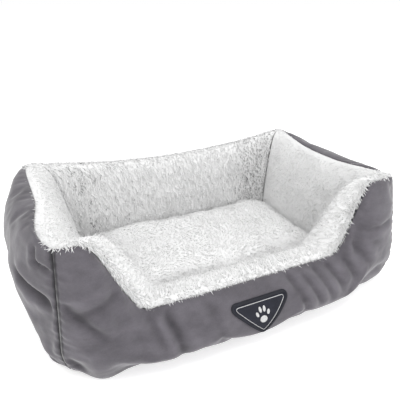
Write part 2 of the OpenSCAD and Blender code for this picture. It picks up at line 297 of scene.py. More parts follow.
def solidify(piece, thickness):
    """Gives a sheet its thickness on the inner side."""
    solid = piece.modifiers.new("thickness", "SOLIDIFY")
    solid.thickness = thickness
    solid.offset = -1
    return solid


def thicken(piece, thickness):
    solidify(piece, thickness).use_even_offset = False
    fine = piece.modifiers.new("smoothing", "SUBSURF")
    fine.levels = fine.render_levels = 1


def ripple(point, scale, seed=0.0):
    """Soft noise from about -1 to 1."""
    return noise.fractal(point / scale + Vector((seed, 0, 0)), 0.8, 2.0, 3)


# %% [markdown]
# ## Shared shader groups
# A group holds an effect that several finishes use, and puts out only a mask, a colour
# or a normal. `cloud` gives soft blotches and a fine grain. Shaders stay in the material.

# %% Node helpers
def add_node(tree, kind, **values):
    node = tree.nodes.new(kind)
    for name, value in values.items():
        if name in node.inputs:
            node.inputs[name].default_value = value
        else:
            setattr(node, name, value)
    return node


def join(tree, source, out_socket, target, in_socket):
    tree.links.new(source.outputs[out_socket], target.inputs[in_socket])


def new_group(name, inputs, outputs):
    group = bpy.data.node_groups.new(name, "ShaderNodeTree")
    for label, kind, value in inputs:
        socket = group.interface.new_socket(label, in_out="INPUT", socket_type=kind)
        if value is not None:
            socket.default_value = value
    for label, kind in outputs:
        group.interface.new_socket(label, in_out="OUTPUT", socket_type=kind)
    return group, group.nodes.new("NodeGroupInput"), group.nodes.new("NodeGroupOutput")


def use_group(tree, group, **values):
    node = tree.nodes.new("ShaderNodeGroup")
    node.node_tree = group
    for label, value in values.items():
        node.inputs[label.replace("_", " ")].default_value = value
    return node


def ramp(tree, stops):
    node = tree.nodes.new("ShaderNodeValToRGB")
    elements = node.color_ramp.elements
    while len(elements) < len(stops):
        elements.new(0.5)
    for element, (place, colour) in zip(elements, stops):
        element.position = place
        element.color = (*colour, 1)
    return node


def grey(value, tint=(1, 1, 1)):
    return tuple(value * channel for channel in tint)


def new_material(name, **settings):
    material = bpy.data.materials.new(name)
    material.use_nodes = True
    shader = material.node_tree.nodes["Principled BSDF"]
    for label, value in settings.items():
        shader.inputs[label.replace("_", " ")].default_value = value
    return material, material.node_tree, shader


# %% The cloud group: blotches, grain and a bump height
cloud, given, result = new_group(
    "cloud",
    [("Vector", "NodeSocketVector", None), ("Blotch scale", "NodeSocketFloat", 14.0),
     ("Grain scale", "NodeSocketFloat", 900.0), ("Grain share", "NodeSocketFloat", 0.35)],
    [("Mask", "NodeSocketFloat"), ("Height", "NodeSocketFloat")],
)
blotch = add_node(cloud, "ShaderNodeTexNoise", Detail=3.0, Roughness=0.6)
grain = add_node(cloud, "ShaderNodeTexNoise", Detail=2.0, Roughness=0.7)
both = add_node(cloud, "ShaderNodeMix")
join(cloud, given, "Vector", blotch, "Vector")
join(cloud, given, "Vector", grain, "Vector")
join(cloud, given, "Blotch scale", blotch, "Scale")
join(cloud, given, "Grain scale", grain, "Scale")
join(cloud, given, "Grain share", both, "Factor")
join(cloud, blotch, "Fac", both, "A")
join(cloud, grain, "Fac", both, "B")
join(cloud, both, "Result", result, "Mask")
join(cloud, grain, "Fac", result, "Height")

# %% [markdown]
# ## Finishes
# The outer cloth is a brushed polyester that looks like suede: a grey with a little
# violet, a soft sheen, a nap that was stroked one way here and another way there, and no
# visible weave. The plush is white with grey tips on part of its hairs.


# %% Suede-look cloth
# The folds' light and shade are painted into the cloth's colour, mixed with the nap's blotches.
FOLD_SHADE_SHARE = 0.26       # how much the folds, against the nap's blotches, shade the cloth


def suede_finish(name, dark, light, paints_fold_shade):
    material, tree, shader = new_material(
        name, Roughness=0.88, Sheen_Weight=0.35, Sheen_Roughness=0.45, Specular_IOR_Level=0.15
    )
    place = tree.nodes.new("ShaderNodeTexCoord")
    stretch = add_node(tree, "ShaderNodeMapping", Scale=(1.0, 1.0, 2.2))
    nap = use_group(tree, cloud, Blotch_scale=26.0, Grain_scale=750.0, Grain_share=0.35)
    colours = ramp(tree, [(0.30, dark), (0.68, light)])
    bump = add_node(tree, "ShaderNodeBump", Strength=0.16, Distance=0.0006)
    join(tree, place, "Object", stretch, "Vector")
    join(tree, stretch, "Vector", nap, "Vector")
    if paints_fold_shade:
        # painted light and shade: the colour is lighter on the ridges of the folds and darker in their
        # valleys
        fold = add_node(tree, "ShaderNodeAttribute", attribute_name="fold")
        nap_and_fold_shade = add_node(tree, "ShaderNodeMix")
        nap_and_fold_shade.inputs["Factor"].default_value = FOLD_SHADE_SHARE
        join(tree, nap, "Mask", nap_and_fold_shade, "A")
        join(tree, fold, "Fac", nap_and_fold_shade, "B")
        join(tree, nap_and_fold_shade, "Result", colours, "Fac")
        # the groove along a corner seam lies in the shade of both panels
        seam_shade = add_node(tree, "ShaderNodeMapRange")
        seam_shade.inputs["From Min"].default_value, seam_shade.inputs["From Max"].default_value = -1.4, -0.1
        seam_shade.inputs["To Min"].default_value, seam_shade.inputs["To Max"].default_value = 0.35, 1.0
        shaded = add_node(tree, "ShaderNodeVectorMath", operation="SCALE")
        join(tree, fold, "Fac", seam_shade, "Value")
        join(tree, colours, "Color", shaded, 0)
        join(tree, seam_shade, "Result", shaded, "Scale")
        join(tree, shaded, "Vector", shader, "Base Color")
    else:
        join(tree, nap, "Mask", colours, "Fac")
        join(tree, colours, "Color", shader, "Base Color")
    join(tree, nap, "Height", bump, "Height")
    join(tree, bump, "Normal", shader, "Normal")
    return material


SUEDE_TINT = (1.0, 0.935, 1.06)
suede = suede_finish("suede_cloth", grey(0.048, SUEDE_TINT), grey(0.124, SUEDE_TINT), True)
suede_under = suede_finish("suede_cloth_under", grey(0.085, SUEDE_TINT), grey(0.12, SUEDE_TINT), False)


# %% Plush backing and pile
def plush_finish(name, shade_from_attribute):
    material, tree, shader = new_material(
        name, Roughness=0.95, Sheen_Weight=0.25, Sheen_Roughness=0.6, Specular_IOR_Level=0.1,
        Subsurface_Weight=0.35, Subsurface_Radius=(0.004, 0.004, 0.004)
    )
    if shade_from_attribute:
        # shade: a random value for each lock; tip: 0 at its root and 1 at its point
        shade = add_node(tree, "ShaderNodeAttribute", attribute_name="shade")
        tip = add_node(tree, "ShaderNodeAttribute", attribute_name="tip")
        dark_share = add_node(tree, "ShaderNodeMath", operation="MULTIPLY")
        join(tree, shade, "Fac", dark_share, 0)
        join(tree, tip, "Fac", dark_share, 1)
        colours = ramp(tree, [
            (0.0, grey(0.68)), (0.44, grey(0.77)), (0.58, grey(0.20)), (0.78, grey(0.03)),
        ])
        join(tree, dark_share, 0, colours, "Fac")
    else:
        place = tree.nodes.new("ShaderNodeTexCoord")
        patches = use_group(tree, cloud, Blotch_scale=30.0, Grain_scale=420.0, Grain_share=0.5)
        colours = ramp(tree, [(0.3, grey(0.64)), (0.7, grey(0.76))])
        join(tree, place, "Object", patches, "Vector")
        join(tree, patches, "Mask", colours, "Fac")
    join(tree, colours, "Color", shader, "Base Color")
    return material


plush_backing = plush_finish("plush_backing", False)
plush_hair = plush_finish("plush_hair", True)

# %% The weave group: crossing threads as a height and a mask
weave, given, result = new_group(
    "weave",
    [("Vector", "NodeSocketVector", None), ("Threads", "NodeSocketFloat", 1500.0)],
    [("Height", "NodeSocketFloat"), ("Mask", "NodeSocketFloat")],
)
warp, weft = (
    add_node(
        weave, "ShaderNodeTexWave", wave_type="BANDS", bands_direction=across,
        Distortion=0.4, Detail=1.0,
    )
    for across in ("X", "Z")
)
wear = add_node(weave, "ShaderNodeTexNoise", Scale=160.0, Detail=2.0)
higher = add_node(weave, "ShaderNodeMath", operation="MAXIMUM")
worn = add_node(weave, "ShaderNodeMix")
worn.inputs["Factor"].default_value = 0.5
for band in (warp, weft):
    join(weave, given, "Vector", band, "Vector")
    join(weave, given, "Threads", band, "Scale")
join(weave, given, "Vector", wear, "Vector")
join(weave, warp, "Fac", higher, 0)
join(weave, weft, "Fac", higher, 1)
join(weave, higher, 0, worn, "A")
join(weave, wear, "Fac", worn, "B")
join(weave, higher, 0, result, "Height")
join(weave, worn, "Result", result, "Mask")


# %% Woven finishes: the badge, the zip's tapes and the base
def woven_finish(name, dark, light, threads, turn_about=(0, 0, 0), **settings):
    material, tree, shader = new_material(name, **settings)
    place = tree.nodes.new("ShaderNodeTexCoord")
    turned = add_node(tree, "ShaderNodeMapping", Rotation=turn_about)
    threads_node = use_group(tree, weave, Threads=threads)
    colours = ramp(tree, [(0.3, dark), (0.8, light)])
    bump = add_node(tree, "ShaderNodeBump", Strength=0.35, Distance=0.0003)
    join(tree, place, "Object", turned, "Vector")
    join(tree, turned, "Vector", threads_node, "Vector")
    join(tree, threads_node, "Mask", colours, "Fac")
    join(tree, colours, "Color", shader, "Base Color")
    join(tree, threads_node, "Height", bump, "Height")
    join(tree, bump, "Normal", shader, "Normal")
    return material


NAVY = (0.80, 0.85, 1.25)
diagonal = (0, math.radians(38), 0)
badge_weave = woven_finish(
    "badge_weave", grey(0.010, NAVY), grey(0.024, NAVY), 330.0, diagonal,
    Roughness=0.75, Specular_IOR_Level=0.2,
)
overlock_thread = woven_finish(
    "overlock_thread", grey(0.007, NAVY), grey(0.018, NAVY), 420.0, diagonal,
    Roughness=0.6, Specular_IOR_Level=0.25,
)
satin_thread = woven_finish(
    "satin_thread", grey(0.30), grey(0.52), 480.0, (0, 0.3, 0), Roughness=0.45, Sheen_Weight=0.3
)
tape_weave = woven_finish("tape_weave", grey(0.060), grey(0.105), 300.0, diagonal, Roughness=0.8)
base_weave = woven_finish(
    "base_weave", grey(0.018), grey(0.034), 260.0, (math.pi / 2, 0, 0), Roughness=0.85
)


# %% Nylon, rubber and plated metal
def clouded_finish(name, dark, light, blotches, rough, **settings):
    material, tree, shader = new_material(name, **settings)
    place = tree.nodes.new("ShaderNodeTexCoord")
    patches = use_group(tree, cloud, Blotch_scale=blotches, Grain_scale=1200.0, Grain_share=0.4)
    colours = ramp(tree, [(0.3, dark), (0.7, light)])
    roughness = ramp(tree, [(0.2, grey(rough[0])), (0.8, grey(rough[1]))])
    join(tree, place, "Object", patches, "Vector")
    join(tree, patches, "Mask", colours, "Fac")
    join(tree, patches, "Mask", roughness, "Fac")
    join(tree, colours, "Color", shader, "Base Color")
    join(tree, roughness, "Color", shader, "Roughness")
    return material


zip_nylon = clouded_finish("zip_nylon", grey(0.055), grey(0.085), 90.0, (0.28, 0.45))
dot_rubber = clouded_finish("dot_rubber", grey(0.012), grey(0.022), 60.0, (0.55, 0.75))
plated_metal = clouded_finish("plated_metal", grey(0.24), grey(0.38), 240.0, (0.28, 0.46), Metallic=1.0)
print("materials:", len(bpy.data.materials))

# %% [markdown]
# ## Outer panels
# Each panel is a grid laid on the wall's outer face. A real one isn't smooth: the filling
# pushes it out unevenly, the corner seams pull it in, and the cloth is a little larger
# than the filling. So it is first blown up as a cloth with its four edges sewn down, and
# then it gets the folds that the sewing made. A fold is a valley with a low ridge on each
# side, given by its two ends (distance along the wall and height), width and depth.

# %% Folds that the sewing made, in metres
FOLDS = {
    FRONT: [
        (-0.254, 0.120, -0.200, 0.064, 0.0060, 0.0050), (-0.258, 0.052, -0.224, 0.006, 0.0060, 0.0050),
        (-0.236, 0.100, -0.176, 0.112, 0.0070, 0.0040), (-0.156, 0.084, -0.137, 0.024, 0.0055, 0.0050),
        (-0.134, 0.080, -0.114, 0.010, 0.0065, 0.0058), (-0.078, 0.082, -0.066, 0.022, 0.0080, 0.0035),
        (0.042, 0.084, 0.066, 0.018, 0.0055, 0.0036), (0.064, 0.084, 0.088, 0.026, 0.0050, 0.0034),
        (0.086, 0.084, 0.110, 0.028, 0.0050, 0.0032), (0.108, 0.086, 0.132, 0.034, 0.0050, 0.0034),
        (0.134, 0.092, 0.160, 0.042, 0.0055, 0.0040), (0.156, 0.102, 0.186, 0.056, 0.0060, 0.0034),
        (0.168, 0.112, 0.246, 0.117, 0.0040, 0.0026), (0.200, 0.050, 0.250, 0.030, 0.0080, 0.0034),
    ],
    RIGHT: [
        (-0.154, 0.122, -0.070, 0.098, 0.0055, 0.0036), (-0.156, 0.056, -0.080, 0.020, 0.0055, 0.0034),
        (0.154, 0.112, 0.062, 0.132, 0.0055, 0.0034), (0.020, 0.172, 0.008, 0.110, 0.0065, 0.0030),
        (0.156, 0.046, 0.080, 0.015, 0.0055, 0.0034), (-0.050, 0.172, -0.058, 0.130, 0.0060, 0.0028),
    ],
    BACK: [
        (-0.252, 0.134, -0.140, 0.108, 0.0060, 0.0036), (-0.254, 0.056, -0.160, 0.020, 0.0055, 0.0034),
        (0.250, 0.122, 0.150, 0.146, 0.0060, 0.0034), (0.254, 0.060, 0.165, 0.024, 0.0055, 0.0034),
        (-0.090, 0.160, -0.078, 0.110, 0.0080, 0.0030), (0.060, 0.156, 0.074, 0.112, 0.0075, 0.0030),
        (0.140, 0.158, 0.128, 0.096, 0.0070, 0.0034), (-0.150, 0.160, -0.140, 0.090, 0.0075, 0.0034),
    ],
    LEFT: [
        (0.070, 0.128, 0.156, 0.096, 0.0062, 0.0066), (0.085, 0.040, 0.146, 0.008, 0.0058, 0.0048),
        (0.118, 0.178, 0.124, 0.142, 0.0034, 0.0036), (0.112, 0.154, 0.158, 0.148, 0.0032, 0.0032),
        (-0.156, 0.120, -0.060, 0.092, 0.0055, 0.0034), (-0.156, 0.056, -0.070, 0.022, 0.0055, 0.0034),
        (0.020, 0.120, 0.075, 0.060, 0.0100, 0.0030),
    ],
}
# Four values are for the front, right, back and left walls.
OVER_TOP = (0.0, 0.27, 0.0, 0.16)           # at most, as a share of the plush's section
SLIMMER = (0.0025, -0.0030, 0.0015, 0.0022) # before it is blown up; below 0 it is fuller
LOW_SLIM = (0.0, 0.0, 0.0, 12.0)            # how much more of that toward the foot
PANEL_ROWS = 46
TOP_ROW = (46, 42, 46, 42)                  # the grid's row where it starts to run over
LIFT_REACH = 0.018                          # how far from a corner the foot is lifted
BADGE_X, BADGE_Z = -0.0095, 0.048
BADGE_LEAN = 0.42
BADGE_FLAT_OUT = 0.2115
tape_low, tape_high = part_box("zip_tape_upper")
chain_low, chain_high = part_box("zip_chain")
ZIP_HEIGHT = (chain_low.z + chain_high.z) / 2
ZIP_HALF = (tape_high.x - tape_low.x) / 2 + 0.006
ZIP_OUT = tape_low.y - MIDDLE.y


def fold_depth(wall, l, z):
    total = 0.0
    for l0, z0, l1, z1, width, depth in FOLDS[wall]:
        dl, dz = l1 - l0, z1 - z0
        length = math.hypot(dl, dz)
        share = ((l - l0) * dl + (z - z0) * dz) / length ** 2
        away = ((l - l0) * dz - (z - z0) * dl) / length / width
        if 0 < share < 1 and abs(away) < 5:
            fade = smooth(share * 4) * smooth((1 - share) * 2.5)
            ridges = math.exp(-(((abs(away) - 2.2) / 1.3) ** 2))
            total += depth * fade * (math.exp(-away * away) - 0.35 * ridges)
    return total


def stillness(wall, l, z):
    """1 where the badge or the zip is sewn on, and 0 away from them."""
    if wall == FRONT:
        return 1 - smooth((math.hypot((l - BADGE_X) / 0.050, (z - BADGE_Z) / 0.032) - 0.85) / 0.4)
    if wall == BACK:
        beside = smooth((ZIP_HALF + 0.035 - abs(l)) / 0.035)
        return beside * smooth((0.030 - abs(z - ZIP_HEIGHT)) / 0.020)
    return 0.0


def foot_swell(corner):
    return 0.007 * math.exp(-(((corner - 0.034) / 0.022) ** 2))


def foot_bulge(wall, l):
    """The front stands fullest on the floor near its left end."""
    if wall != FRONT:
        return 0.0
    from_seam = half_along(FRONT, 0) - abs(l)
    near_end = 0.011 * math.exp(-(((l + 0.205) / 0.040) ** 2)) * smooth(from_seam / 0.03)
    return near_end + 0.005 * math.exp(-(((l + 0.140) / 0.045) ** 2))


def foot_edge(wall, u):
    length = half_along(wall, 0)
    return bow(wall, u, 0) + foot_swell((1 - abs(u)) * length) + foot_bulge(wall, u * length)


def over_top(wall, u):
    """How far the outer cloth runs over the top, as a share of the plush's section."""
    if wall == LEFT and u > 0:
        return OVER_TOP[wall] * smooth((0.92 - u) / 0.85)
    return OVER_TOP[wall] * (1 - abs(u) ** 2.5)


def corner_lift(y):
    """How far a corner's seam lifts the foot off the floor: more in front than behind."""
    return 0.008 if y < MIDDLE.y else 0.003


def corner_push(wall, u, t):
    """The filling is fullest in the front right corner."""
    if (wall, u > 0) not in ((FRONT, True), (RIGHT, False)):
        return Vector()
    push = 0.006 * math.sin(math.pi * t) ** 0.6 * math.exp(-(((1 - abs(u)) / 0.22) ** 2))
    return Vector((push * 0.7, -push * 0.7, 0))


def panel_point(wall, u, t):
    z = top_height(wall, u) * t
    l = u * half_along(wall, z)
    out = half_out(wall, z) + bow(wall, u, t)
    still = stillness(wall, l, z)
    if wall == BACK:
        out += (ZIP_OUT - out) * still
    if wall == FRONT:
        out += (BADGE_FLAT_OUT - BADGE_LEAN * z - out) * still * 0.55 * smooth((1 - t) * 7)
    # the cloth swells when it is blown up, so it starts slimmer
    slimmer = SLIMMER[wall] * (1 + LOW_SLIM[wall] * (1 - t) ** 2)
    out -= slimmer * math.sin(math.pi * t) * (1 - u ** 6) * (1 - still)
    corner = (1 - abs(u)) * half_along(wall, z)
    low = (1 - t) ** 3
    out += foot_swell(corner) * low + foot_bulge(wall, l) * (1 - t) ** 2
    p = turn(wall, l, out, z) + corner_push(wall, u, t)
    p.z += corner_lift(p.y) * low * math.exp(-((corner / LIFT_REACH) ** 2))
    return p


def panel_row_point(wall, u, row):
    if row <= TOP_ROW[wall]:
        return panel_point(wall, u, row / TOP_ROW[wall])
    share = (row - TOP_ROW[wall]) / (PANEL_ROWS - TOP_ROW[wall])
    over = plush_point(wall, u, over_top(wall, u) * share)
    rise = 0.0035 * math.sin(math.pi * share) * smooth((1 - abs(u)) / 0.3)
    return over + outward(wall) * 0.002 * (1 - share) + Vector((0, 0, rise))


# %% Blowing a sewn cloth up
CLOTH_FRAMES = 20


def blow_up(piece, is_sewn, growth, pressure, cap):
    """Grows a sheet held at its sewn points, no point by more than cap."""
    sewn = piece.vertex_groups.new(name="sewn")
    sewn.add([v.index for v in piece.data.vertices if is_sewn(v)], 1.0, "REPLACE")
    start = [v.co.copy() for v in piece.data.vertices]
    cloth = piece.modifiers.new("cloth", "CLOTH")
    cloth.settings.quality = 6
    cloth.settings.mass = 0.15
    cloth.settings.tension_stiffness = cloth.settings.compression_stiffness = 12
    cloth.settings.bending_stiffness = 4.0
    cloth.settings.shrink_min = -growth
    cloth.settings.use_pressure = True
    cloth.settings.uniform_pressure_force = pressure
    cloth.settings.vertex_group_mass = "sewn"
    cloth.settings.effector_weights.gravity = 0
    cloth.collision_settings.use_collision = False
    cloth.point_cache.frame_start, cloth.point_cache.frame_end = 1, CLOTH_FRAMES
    for frame_number in range(1, CLOTH_FRAMES + 1):
        scene.frame_set(frame_number)
    apply_modifiers(piece)
    scene.frame_set(1)
    furthest = 0.0
    for v, before in zip(piece.data.vertices, start):
        move = v.co - before
        furthest = max(furthest, move.length)
        if move.length > cap:
            v.co = before + move * (cap / move.length)
    piece.vertex_groups.clear()
    print(piece.name, "moved up to", round(furthest * 1000, 1), "mm")


def finer(piece):
    fine = piece.modifiers.new("finer", "SUBSURF")
    fine.levels = fine.render_levels = 1
    apply_modifiers(piece)


# %% Folds, lumps and the pull of the seams
LUMP_HEIGHT, SEAM_PULL, SEAM_SHADE_WIDTH = 0.0030, 0.0032, 0.0028


def wall_place(wall, p):
    """Distance along the wall and height of a point."""
    away = p - MIDDLE
    return (away.x, away.y, -away.x, -away.y)[wall], p.z


def crease_panel(piece, wall):
    along = turn(wall, 1, 0, 0) - turn(wall, 0, 0, 0)
    # fold holds painted light and shade for the cloth's colour: lighter where the cloth is raised,
    # darker in the valleys and along the corner seams
    piece.data.attributes.new("fold", "FLOAT", "POINT")
    fold = piece.data.attributes["fold"]
    for v in piece.data.vertices:
        l, z = wall_place(wall, v.co)
        u = max(-1.0, min(1.0, l / half_along(wall, z)))
        edge = (1 - abs(u)) * half_along(wall, z)
        below_top = max(0.0, top_height(wall, u) - z)
        free = smooth(edge / 0.014) * smooth(z / 0.012) * smooth(below_top / 0.010)
        free *= 1 - stillness(wall, l, z)
        lumps = LUMP_HEIGHT * ripple(v.co, 0.085, wall * 7.3) * (0.4 + 0.6 * smooth(z / 0.06))
        lumps += 0.0006 * ripple(v.co, 0.024, wall * 3.1)
        pucker = 0.0008 * math.sin(math.tau * z / 0.011 + 3 * noise.noise(v.co / 0.03))
        pull = SEAM_PULL * math.exp(-((edge / 0.0045) ** 2))
        pull += pucker * math.exp(-edge / 0.009) * smooth(edge / 0.004)
        corner_out = (outward(wall) + math.copysign(1, u) * along).normalized()
        near_zip = 1 - stillness(wall, l, z)
        raised = free * (lumps - fold_depth(wall, l, z))
        v.co += outward(wall) * raised - corner_out * pull * near_zip
        # painted shade along the corner seams: a wide strip of the pushed-out corner counts as edge,
        # and full-strength shade there would be a dark band
        seam_shade = 0.4 if corner_push(wall, math.copysign(0.9, u), 0.5).length > 0 else 2.0
        seam_shade *= math.exp(-((edge / SEAM_SHADE_WIDTH) ** 2))
        fold.data[v.index].value = 0.5 + raised / 0.008 - seam_shade


# %% The four panels
outer_panels = {}
for wall, side in enumerate(SIDES):
    columns = 110 if along_x(wall) else 70
    panel = sheet_piece(
        f"{side}_outer_panel", columns, PANEL_ROWS,
        lambda a, b, wall=wall: panel_row_point(wall, 2 * a - 1, b * PANEL_ROWS),
    )
    face_outwards(panel, lambda c, wall=wall: outward(wall))

    def is_sewn(v, wall=wall, columns=columns):
        column, row = v.index % (columns + 1), v.index // (columns + 1)
        l, z = wall_place(wall, v.co)
        return column in (0, columns) or row in (0, PANEL_ROWS) or stillness(wall, l, z) > 0.5

    blow_up(panel, is_sewn, growth=0.015, pressure=1.0, cap=0.006)
    finer(panel)
    crease_panel(panel, wall)
    solidify(panel, PANEL_CLOTH)
    panel.data.materials.append(suede)
    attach(panel, "bed_shell")
    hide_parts(f"{side}_panel", f"{side}_filling")
    outer_panels[wall] = panel
    print(panel.name, len(panel.data.vertices), "points")

# %% [markdown]
# ## Plush skins
# The plush is cut in four pieces too. Its backing is a grid over the top of each wall and
# down to the floor. It carries four things for the pile: `comb`, the way the hairs lie,
# `pile`, their length, `frost`, how dark-tipped they are, and `thick`, how densely they
# stand. Over the top seam the hairs lie outwards and hang over the grey cloth, and on the
# inner face they lie down the wall.


# %% The four skins
PILE_LENGTH = (0.0056, 0.0040, 0.0070, 0.0048)     # front, right, back, left
SEAM_LENGTH = (0.0062, 0.0045, 0.0056, 0.0042)


def frost_at(wall, u, s):
    """How dark-tipped the hairs are: the pile opens in the back wall's two corners."""
    if wall != BACK:
        return 0.0
    height = smooth(s / 0.25) * smooth((1.15 - s) / 0.3)
    left_corner = 0.50 * math.exp(-(((u - 0.80) / 0.14) ** 2))
    right_corner = 1.40 * math.exp(-(((u + 0.86) / 0.20) ** 2))
    return height * (left_corner + right_corner)


def pile_layers(mesh):
    mesh.attributes.new("comb", "FLOAT_VECTOR", "POINT")
    mesh.attributes.new("pile", "FLOAT", "POINT")
    mesh.attributes.new("frost", "FLOAT", "POINT")
    mesh.attributes.new("thick", "FLOAT", "POINT")
    return [mesh.attributes[name] for name in ("comb", "pile", "frost", "thick")]


def skin_point(wall, u, s):
    p = plush_point(wall, u, s)
    lumps = 0.0022 * ripple(p, 0.050, 11 + wall) * smooth(s * 6) * smooth((1 - abs(u)) * 8)
    under = 0.005 * smooth((over_top(wall, u) - s) / 0.06)
    p -= outward(wall) * under + Vector((0, 0, under))
    return p - outward(wall) * lumps * 0.8 + Vector((0, 0, lumps * 0.6 * (1 - min(s, 1))))


CREASE_ROW, LAST_ROW = 30, 36


def row_to_s(row):
    if row <= CREASE_ROW:
        return row / CREASE_ROW
    return 1 + (row - CREASE_ROW) / (LAST_ROW - CREASE_ROW)


plush_skins = {}
for wall, side in enumerate(SIDES):
    columns = 90 if along_x(wall) else 56
    skin = sheet_piece(
        f"{side}_plush_lining", columns, LAST_ROW,
        lambda a, b, wall=wall: skin_point(wall, 2 * a - 1, row_to_s(b * LAST_ROW)),
    )
    face_outwards(skin, lambda c, wall=wall: Vector((0, 0, 1)) - outward(wall) * 0.6)
    mesh = skin.data
    along = turn(wall, 1, 0, 0) - turn(wall, 0, 0, 0)
    comb, pile, frost, thick = pile_layers(mesh)
    for i, v in enumerate(mesh.vertices):
        u, s = 2 * (i % (columns + 1)) / columns - 1, row_to_s(i // (columns + 1))
        near = min(s, 0.97)
        down = (plush_point(wall, u, near + 0.02) - plush_point(wall, u, near)).normalized()
        past_seam = s - over_top(wall, u)
        over = 1 - smooth((past_seam - 0.02) / 0.15)
        clump = noise.noise(Vector((u * half_along(wall, 0) / 0.011, s * 4, wall * 5)))
        hang = outward(wall) * 0.8 - Vector((0, 0, 0.7)) + along * clump * 1.1
        comb.data[i].vector = hang * over + (down + along * clump * 0.3) * (1 - over)
        tuft = smooth((abs(u) - 0.8) / 0.15) if wall != BACK else 0
        length = (SEAM_LENGTH[wall] + 0.0022 * tuft) * over + PILE_LENGTH[wall] * (1 - over)
        pile.data[i].value = length if s <= 1 else 0.003
        thick.data[i].value = 0.4
        if s <= 1.3:
            thick.data[i].value = (1 + 2.2 * over) * smooth((past_seam + 0.012) / 0.01)
        frost.data[i].value = frost_at(wall, u, s)
    thicken(skin, 0.003)
    mesh.materials.append(plush_backing)
    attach(skin, "bed_shell")
    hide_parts(f"{side}_plush")
    plush_skins[wall] = skin
    print(skin.name, len(mesh.vertices), "points")

# %% [markdown]
# ## The cushion
# A loose pillow fills the floor of the bed. Its plush top is crowned, its sides pull in
# to a seam half way up, and its underside is the same cloth as the walls.

# %% Cushion sizes and section
CUSHION_TOP = 0.064
CUSHION_SEAM = 0.031
CUSHION_SQUARENESS = 13.0                   # the higher, the tighter its corners
CUSHION_COLUMNS, CUSHION_ROWS = 72, 44
CUSHION_LOW = FLOOR_TOP + 0.0005
CUSHION_X, CUSHION_Y = WELL_X - 0.0006, WELL_Y - 0.0006


def rounded_edge(angle):
    """The cushion's outline in the direction of angle: a rectangle with round corners."""
    c, s = abs(math.cos(angle)) / CUSHION_X, abs(math.sin(angle)) / CUSHION_Y
    reach = (c ** CUSHION_SQUARENESS + s ** CUSHION_SQUARENESS) ** (-1 / CUSHION_SQUARENESS)
    return Vector((math.cos(angle) * reach, math.sin(angle) * reach, 0))


def cushion_point(side, share, angle):
    edge = rounded_edge(angle) * share
    rise = CUSHION_TOP - CUSHION_SEAM if side > 0 else CUSHION_SEAM - CUSHION_LOW
    bend = 5 if side > 0 else 9
    z = CUSHION_SEAM + side * rise * math.sqrt(max(0.0, 1 - share ** bend))
    p = MIDDLE + edge + Vector((0, 0, z))
    lumps = 0.0022 * ripple(p, 0.06, 31) * smooth((1 - share) * 5) if side > 0 else 0
    return p + Vector((0, 0, lumps))


def cushion_half(name, side):
    bm = bmesh.new()
    bmesh.ops.create_grid(bm, x_segments=CUSHION_COLUMNS, y_segments=CUSHION_ROWS, size=1)
    for v in bm.verts:
        x, y = v.co.x, v.co.y
        share = max(abs(x), abs(y))
        angle = math.atan2(y * CUSHION_Y, x * CUSHION_X) if share > 0 else 0
        v.co = cushion_point(side, share ** (0.8 if side > 0 else 1), angle)
    half = make_object(name, bm)
    face_outwards(half, lambda c: Vector((0, 0, side)))
    return half


def is_rim(v):
    column, row = v.index % (CUSHION_COLUMNS + 1), v.index // (CUSHION_COLUMNS + 1)
    return column in (0, CUSHION_COLUMNS) or row in (0, CUSHION_ROWS)


cushion_cover = cushion_half("cushion_plush_top", 1)
cushion_under = cushion_half("cushion_underside", -1)
blow_up(cushion_cover, is_rim, growth=0.018, pressure=0.5, cap=0.0045)
for half, node, finish, slot_name in (
    (cushion_cover, "cushion_plush_cover", plush_backing, "plush_pile"),
    (cushion_under, "cushion_under_cover", suede_under, "suede_panel"),
):
    thicken(half, 0.0015)
    half.data.materials.append(finish)
    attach(half, "cushion")
    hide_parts(node)
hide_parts("cushion_filling")

mesh = cushion_cover.data
comb, pile, frost, thick = pile_layers(mesh)
for i, v in enumerate(mesh.vertices):
    swirl = 6.0 * ripple(v.co, 0.16, 5)     # the direction of the hairs, in radians
    comb.data[i].vector = Vector((math.cos(swirl), math.sin(swirl), 0.15))
    pile.data[i].value = 0.0049
    thick.data[i].value = 1.0
print("cushion top at", round(max(v.co.z for v in mesh.vertices), 4))

# %% [markdown]
# ## The pile
# Hair by hair the pile would be millions of faces. Plush clumps, though, so a lock of
# hairs is the natural unit: a thin curved horn with a few faces, which is copied
# thousands of times. Geometry Nodes scatters the copies over a skin, leans each along
# `comb`, and gives each a random width, length and shade. Its seed is fixed.


# %% One lock of hairs, one unit long
def make_lock():
    bm = bmesh.new()
    bmesh.ops.create_circle(bm, cap_ends=True, segments=3, radius=0.086)
    ring = list(bm.edges)
    for rise, scale, bend in ((0.34, 0.9, 0.03), (0.34, 0.62, 0.10)):
        made = bmesh.ops.extrude_edge_only(bm, edges=ring)["geom"]
        points = [g for g in made if isinstance(g, bmesh.types.BMVert)]
        ring = [g for g in made if isinstance(g, bmesh.types.BMEdge)]
        ring = [e for e in ring if all(v in points for v in e.verts)]
        centre = sum((v.co for v in points), Vector()) / len(points)
        bmesh.ops.scale(bm, vec=(scale, scale, 1), verts=points, space=Matrix.Translation(-centre))
        bmesh.ops.translate(bm, vec=(bend, 0, rise), verts=points)
    made = bmesh.ops.extrude_edge_only(bm, edges=ring)["geom"]
    points = [g for g in made if isinstance(g, bmesh.types.BMVert)]
    centre = sum((v.co for v in points), Vector()) / len(points)
    bmesh.ops.pointmerge(bm, verts=points, merge_co=centre + Vector((0.16, 0, 0.32)))
    bmesh.ops.recalc_face_normals(bm, faces=bm.faces)
    lock = make_object("hair_lock", bm)
    tip = lock.data.attributes.new("tip", "FLOAT", "POINT")
    for i, v in enumerate(lock.data.vertices):
        tip.data[i].value = v.co.z
    return lock


hair_lock = make_lock()


